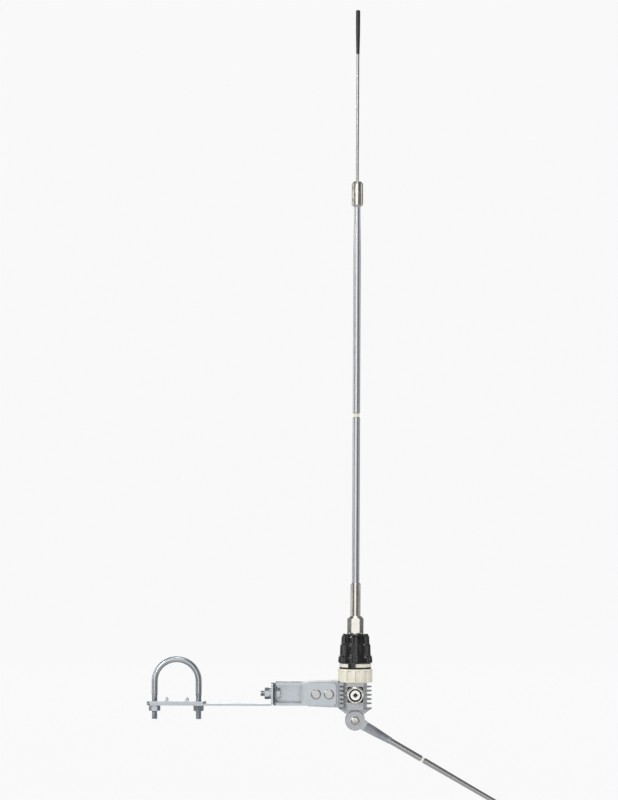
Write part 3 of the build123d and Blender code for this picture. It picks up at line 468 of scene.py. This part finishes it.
def pivot_bolt(head_height=4.4, run_out=1.0, columns=96):
    """Hexagon-head bolt: a threaded shank, then a head whose radius is a hexagon's inside a turned cone."""
    low, high = box_mm("pivot_bolt")
    end, top = low[0], high[0]
    seat = top - head_height
    angle = all_round(columns)
    shank_z = thread_rows(end, seat, M6_PITCH)
    shank = thread(shank_z, angle, M6_CREST, M6_PITCH, end, seat - run_out)
    shank = np.minimum(shank, M6_CREST - END_CHAMFER + shank_z - end)
    flat_r, corner_r = M6_ACROSS_FLATS / 2, M6_ACROSS_FLATS / np.sqrt(3)
    cone = [
        (M6_CREST, seat),
        (flat_r - 0.4, seat),
        (flat_r - 0.1, seat + 0.2),
        (corner_r, seat + 0.5),
        (corner_r, top - 0.7),
        (flat_r - 0.3, top),
    ]
    limit, head_z = follow(cone, 0.12)
    head = hexagonal(limit, angle, M6_ACROSS_FLATS)
    points = np.concatenate([turn(shank, shank_z, angle), turn(head, head_z, angle)])
    return piece_for("pivot_bolt", bar_skin(on_arm(points)))


def hinge_bolt(head_height=2.4, rim_r=1.68, rim_rows=10, columns=64):
    """Pan-head bolt: a flat head with a quarter-circle rim, a plain shank and a thread where the nut sits."""
    low, high = box_mm("hinge_bolt")
    front, back = low[1], high[1]
    head_r = (high[0] - low[0]) / 2
    seat = front + head_height
    nut_seat = box_mm("hinge_nut")[0][1]
    bend = np.linspace(0, pi / 2, rim_rows)[:, None]
    angle = all_round(columns)
    shank_z = np.concatenate([thread_rows(nut_seat, back, M5_PITCH), [[back]]])
    shank = thread(shank_z, angle, M5_CREST, M5_PITCH, nut_seat, back + 1)
    shank = np.minimum(shank, M5_CREST - END_CHAMFER + back - shank_z)
    rows = [
        turn(head_r - rim_r + rim_r * np.sin(bend), front + rim_r * (1 - np.cos(bend)), angle),
        turn(head_r, seat, angle),
        turn(M5_CREST, seat, angle),
        turn(shank, shank_z, angle),
    ]
    return piece_for("hinge_bolt", bar_skin(across(np.concatenate(rows), HINGE_Z)))


# ------------------------------------------------------------------ coaxial socket
def connector_shell(pitch=25.4 / 24, notches=8, notch_half=0.6, notch_depth=1.1, columns=192):
    """Threaded barrel with notches in its rim, a thin flange, and a boss inside the housing.

    It is a closed outline turned about Z. Where the angle falls in a notch, the rim's rows are pushed back.
    The first notch and the thread's start lie half a notch's step from the angle 0.
    """
    low, high = box_mm("connector_shell")
    front, back = low[1], high[1]
    flange_r = (high[0] - low[0]) / 2
    dielectric_low, dielectric_high = box_mm("connector_insulator")
    dielectric_r = (dielectric_high[0] - dielectric_low[0]) / 2
    flange_back = box_mm("connector_gasket")[0][1]
    barrel_r, bore_r, boss_r = flange_r - 0.4, 6.5, 6.9
    barrel_back, rim = front + 11.0, front + 0.5
    angle = all_round(columns)
    half_step = pi / notches
    thread_low, thread_high = rim + 0.1, barrel_back - 0.2
    thread_z = thread_rows(thread_low, thread_high, pitch)
    thread_r = thread(thread_z, angle - half_step, barrel_r, pitch, thread_low, thread_high - 0.2)
    inside = [(dielectric_r, back), (dielectric_r, barrel_back), (bore_r, barrel_back), (bore_r, front)]
    nose = [(bore_r, front), (barrel_r - 0.5, front), (barrel_r, rim)]
    outside = [
        (barrel_r, barrel_back),
        (flange_r, barrel_back),
        (flange_r, flange_back),
        (boss_r, flange_back),
        (boss_r, back),
    ]
    sections = [follow(inside, 1.0), follow(nose, 0.25), (thread_r, thread_z), follow(outside, 1.0)]
    points = np.concatenate([turn(radius, height, angle) for radius, height in sections])
    from_notch = np.abs(angle % (2 * half_step) - half_step)
    radius = np.hypot(points[..., 0], points[..., 1])
    in_notch = (from_notch * radius < notch_half) & (radius > bore_r - NEARLY)
    points[..., 2] = np.where(in_notch, np.maximum(points[..., 2], front + notch_depth), points[..., 2])
    return piece_for("connector_shell", ring_skin(across(points, ARM_Z)))


# ------------------------------------------------------------------ insulator and cap
CAP_THREAD_PITCH = 2.0


def base_insulator(grooves=12, first_groove=7.5, groove_depth=1.4, columns=288):
    """Nylon spindle with a grooved collar and a coarse thread for the cap.

    It is a closed outline turned about Z. A groove takes its depth off the collar's radius where the angle is
    within a quarter of a groove's step of its middle, with a rounded edge, and the same up and down.
    """
    low, high = box_mm("base_insulator")
    foot, top = low[2], high[2]
    collar_r = (high[0] - low[0]) / 2
    foot_r, well_r, hole_r, well_floor = 9.55, 4.5, 2.05, 2.0
    collar_top, spindle_r, chamfer = 13.5, 13.0, 0.8
    thread_low, thread_high = box_mm("seal_ring")[1][2] + 0.4, top - chamfer
    seal_in, seal_out, seal_depth = 7.4, 9.7, 1.4
    groove_low, groove_high, groove_end, groove_side = 1.0, 12.0, 0.6, 0.5
    angle = all_round(columns)
    outer = follow([(foot_r, foot), (foot_r, 0), (collar_r - 0.5, 0), (collar_r, 0.5)], 0.8)
    collar = follow([(collar_r, 0.6), (collar_r, collar_top - 0.9)], 0.25)
    shoulder = follow(
        [(collar_r - 0.25, collar_top - 0.25), (collar_r - 0.9, collar_top), (spindle_r, collar_top)], 0.8
    )
    spindle = (spindle_r, thread_rows(collar_top + 0.2, thread_high, CAP_THREAD_PITCH))
    inside = follow(
        [
            (spindle_r - chamfer, top),
            (seal_out, top),
            (seal_out, top - seal_depth),
            (seal_in, top - seal_depth),
            (seal_in, top),
            (well_r, top),
            (well_r, well_floor),
            (hole_r, well_floor),
            (hole_r, foot),
        ],
        4.0,
    )
    outline = [outer, collar, shoulder, spindle, inside]
    z = np.concatenate([np.asarray(part[1]) for part in outline])
    r = np.concatenate([np.broadcast_to(part[0], np.shape(part[1])) for part in outline])
    step = tau / grooves
    from_middle = np.abs((angle - radians(first_groove) + step / 2) % step - step / 2)
    sideways = smoothstep((step / 4 - from_middle) * collar_r / groove_side + 0.5)
    upright = smoothstep((z - groove_low) / groove_end) * smoothstep((groove_high - z) / groove_end)
    grooved = r - groove_depth * sideways * upright
    cut = thread(z, angle, spindle_r, CAP_THREAD_PITCH, thread_low, thread_high)
    radius = np.where(r > collar_r - NEARLY, grooved, np.where(r == spindle_r, cut, r))
    return piece_for("base_insulator", ring_skin(on_whip(turn(radius, z, angle))))


RIB_OUTLINE = [
    (16.4, 0),
    (17.1, 0.7),
    (16.7, 6.0),
    (15.4, 7.8),
    (15.1, 17.8),
    (14.1, 19.2),
    (13.9, 25.6),
    (13.3, 27.3),
    (12.2, 29.1),
]
VALLEY_OUTLINE = [
    (15.7, 0),
    (16.0, 0.5),
    (15.8, 5.3),
    (14.6, 7.1),
    (14.2, 17.9),
    (13.0, 19.3),
    (12.6, 25.5),
    (11.6, 28.3),
    (10.8, 29.1),
]


def eased(corners, steps=6):
    """Polyline with the same number of points in each span, its corners rounded by averaging neighbours."""
    at = np.linspace(0, len(corners) - 1, (len(corners) - 1) * steps + 1)
    line = np.stack([np.interp(at, range(len(corners)), column) for column in np.transpose(corners)], -1)
    line[1:-1] = (line[:-2] + 2 * line[1:-1] + line[2:]) / 4
    return line[:, None, :]


def lock_cap(ribs=18, first_rib=14.0, rib_width=3.2, rib_side=0.7, columns=432):
    """Hand nut: at each angle the outline is the valley's plus a share of the way to the rib's.

    The share is 1 over a rib and falls off smoothly at its sides. Inside is a stepped bore.
    """
    low, high = box_mm("lock_cap")
    top = high[2]
    bottom = top - RIB_OUTLINE[-1][1]
    bore_r, upper_r, hole_r = 13.05, 11.3, 8.2
    step_z, shoulder_z = box_mm("base_insulator")[1][2] + 0.4, box_mm("thrust_washer")[1][2] + 0.1
    angle = all_round(columns)
    pitch = tau / ribs
    from_rib = np.abs((angle - radians(first_rib) + pitch / 2) % pitch - pitch / 2)
    valley, rib = eased(VALLEY_OUTLINE), eased(RIB_OUTLINE)
    share = smoothstep((rib_width / 2 - from_rib * valley[..., 0]) / rib_side + 0.5)
    skin_r = valley[..., 0] + share * (rib[..., 0] - valley[..., 0])
    skin_z = bottom + valley[..., 1] + share * (rib[..., 1] - valley[..., 1])
    bore = [
        (hole_r + 0.3, top),
        (hole_r, top - 0.3),
        (hole_r, shoulder_z),
        (upper_r, shoulder_z),
        (upper_r, step_z),
        (bore_r, step_z),
        (bore_r, bottom),
    ]
    bore_r_rows, bore_z_rows = follow(bore, 3.0)
    points = np.concatenate([turn(skin_r, skin_z, angle), turn(bore_r_rows, bore_z_rows, angle)])
    cap = piece_for("lock_cap", ring_skin(on_whip(points)), "lock_cap_body")
    pointer_top = bottom + 0.8
    pointer(low[2], pointer_top)
    return cap


def pointer(low_z, high_z, sides=(-7.3, 0.1), inner_r=16.2, outer_r=17.1, steps=24, rounding=0.3):
    """Pointer tab on the cap's rim: a bar section of radius and height, carried round the front.

    The section is a cosine and a sine raised to a small power, which makes a square with round corners.
    """
    lean = np.arcsin(np.array(sides) / outer_r)
    angle = np.linspace(lean[0], lean[1], steps)[:, None] - pi / 2
    middle_r, half_r = (inner_r + outer_r) / 2, (outer_r - inner_r) / 2
    middle_z, half_z = (low_z + high_z) / 2, (high_z - low_z) / 2
    loop = all_round(32)
    radius = middle_r + half_r * np.sign(np.cos(loop)) * np.abs(np.cos(loop)) ** rounding
    height = middle_z - half_z * np.sign(np.sin(loop)) * np.abs(np.sin(loop)) ** rounding
    points = turn(radius, height, angle)
    return piece_for("lock_cap", bar_skin(on_whip(points)), "lock_cap_pointer")


for make in (u_bolt, pivot_bolt, hinge_bolt, connector_shell, base_insulator, lock_cap):
    make()


# ------------------------------------------------------------------ studio
WHIP_DOWN_Z = 2 * ARM_Z * MM - cad_box[1].z  # how low the whip reaches with the arm turned over
FLOOR_Z = WHIP_DOWN_Z - 60 * MM
CENTRE = (cad_box[0] + cad_box[1]) / 2
STUDIO_RADIUS, STUDIO_BEND, STUDIO_HEIGHT = 16.0, 4.0, 14.0
STUDIO_GLOW = 0.89  # light that the backdrop gives off itself, so that floor and wall are one even white


def lit_backdrop():
    """Translucent acrylic lit from behind: mostly its own even light, with little of the lamps' own."""
    return new_material("lit_backdrop", "#4A4A48", Roughness=0.9, Emission_Strength=STUDIO_GLOW)[0]


def studio(columns=96):
    """Pale floor and round wall: a flat disc, a quarter circle and a cylinder, turned about Z."""
    bend = np.linspace(0, pi / 2, 16)[:, None]
    disc = STUDIO_RADIUS - STUDIO_BEND
    radius = np.concatenate([disc + STUDIO_BEND * np.sin(bend), [[STUDIO_RADIUS]]])
    height = np.concatenate([STUDIO_BEND * (1 - np.cos(bend)), [[STUDIO_HEIGHT]]])
    points, faces = bar_skin(turn(radius, height + FLOOR_Z, all_round(columns)))
    mesh = bpy.data.meshes.new("studio")
    mesh.from_pydata(points[:-1], [], faces[:-columns])  # open at the top
    mesh.flip_normals()
    mesh.shade_smooth()
    wall = bpy.data.objects.new("studio", mesh)
    wall.visible_glossy = False
    bpy.context.scene.collection.objects.link(wall)
    mesh.materials.append(lit_backdrop())


def area_light(name, place, size, power):
    """Rectangular white soft light at a place, turned to the object's middle."""
    light = bpy.data.lights.new(name, "AREA")
    light.shape = "RECTANGLE"
    light.size, light.size_y = size
    light.energy = power
    lamp = bpy.data.objects.new(name, light)
    lamp.location = place
    lamp.rotation_euler = (Vector(place) - Vector(CENTRE)).to_track_quat("Z", "Y").to_euler()
    bpy.context.scene.collection.objects.link(lamp)


def surroundings(horizon=0.5, below=1.5):
    """Dim grey room that metals mirror between the lamps, brighter underneath as over a pale floor.

    The strength is the horizon's above a little under the horizon, and grows smoothly to the lower one.
    """
    world = bpy.data.worlds.new("world")
    world.use_nodes = True
    tree, background = world.node_tree, world.node_tree.nodes["Background"]
    background.inputs["Color"].default_value = linear("#A9ABB0")
    place = add(tree, "ShaderNodeTexCoord").outputs["Generated"]
    height = add(tree, "ShaderNodeSeparateXYZ", Vector=place).outputs["Z"]
    settings = {"From Min": -0.1, "From Max": -0.5, "To Min": horizon, "To Max": below}
    settings["interpolation_type"] = "SMOOTHSTEP"
    strength = add(tree, "ShaderNodeMapRange", settings, Value=height).outputs[0]
    tree.links.new(strength, background.inputs["Strength"])
    bpy.context.scene.world = world


def camera(middle_x=131.1 * MM, middle_z=281.8 * MM, frame_height=0.8, roll=radians(-0.25)):
    """Long lens looking along +Y at a middle point, from where the frame is so many metres high."""
    data = bpy.data.cameras.new("camera")
    data.sensor_width, data.lens = 36.0, 200.0
    distance = frame_height * data.lens / data.sensor_width
    data.clip_end = 100.0
    eye = bpy.data.objects.new("camera", data)
    eye.location = (middle_x, -distance, middle_z)
    eye.rotation_euler = (radians(90), roll, 0)
    bpy.context.scene.collection.objects.link(eye)
    bpy.context.scene.camera = eye


studio()
area_light("camera_side_box", (-0.6, -5.6, 0.9), (4.2, 3.0), 58)
area_light("key_box", (-2.6, -3.0, 2.2), (0.5, 2.6), 62)
area_light("left_box", (-4.2, 0.6, 1.0), (2.2, 3.0), 30)
area_light("back_box", (-0.8, 5.6, 1.4), (3.8, 3.0), 54)
area_light("right_box", (4.6, 0.4, 1.0), (1.6, 3.0), 14)
area_light("top_box", (0.1, -1.2, 3.7), (2.4, 2.4), 36)
surroundings()
bpy.context.scene.view_settings.view_transform = "Standard"
camera()
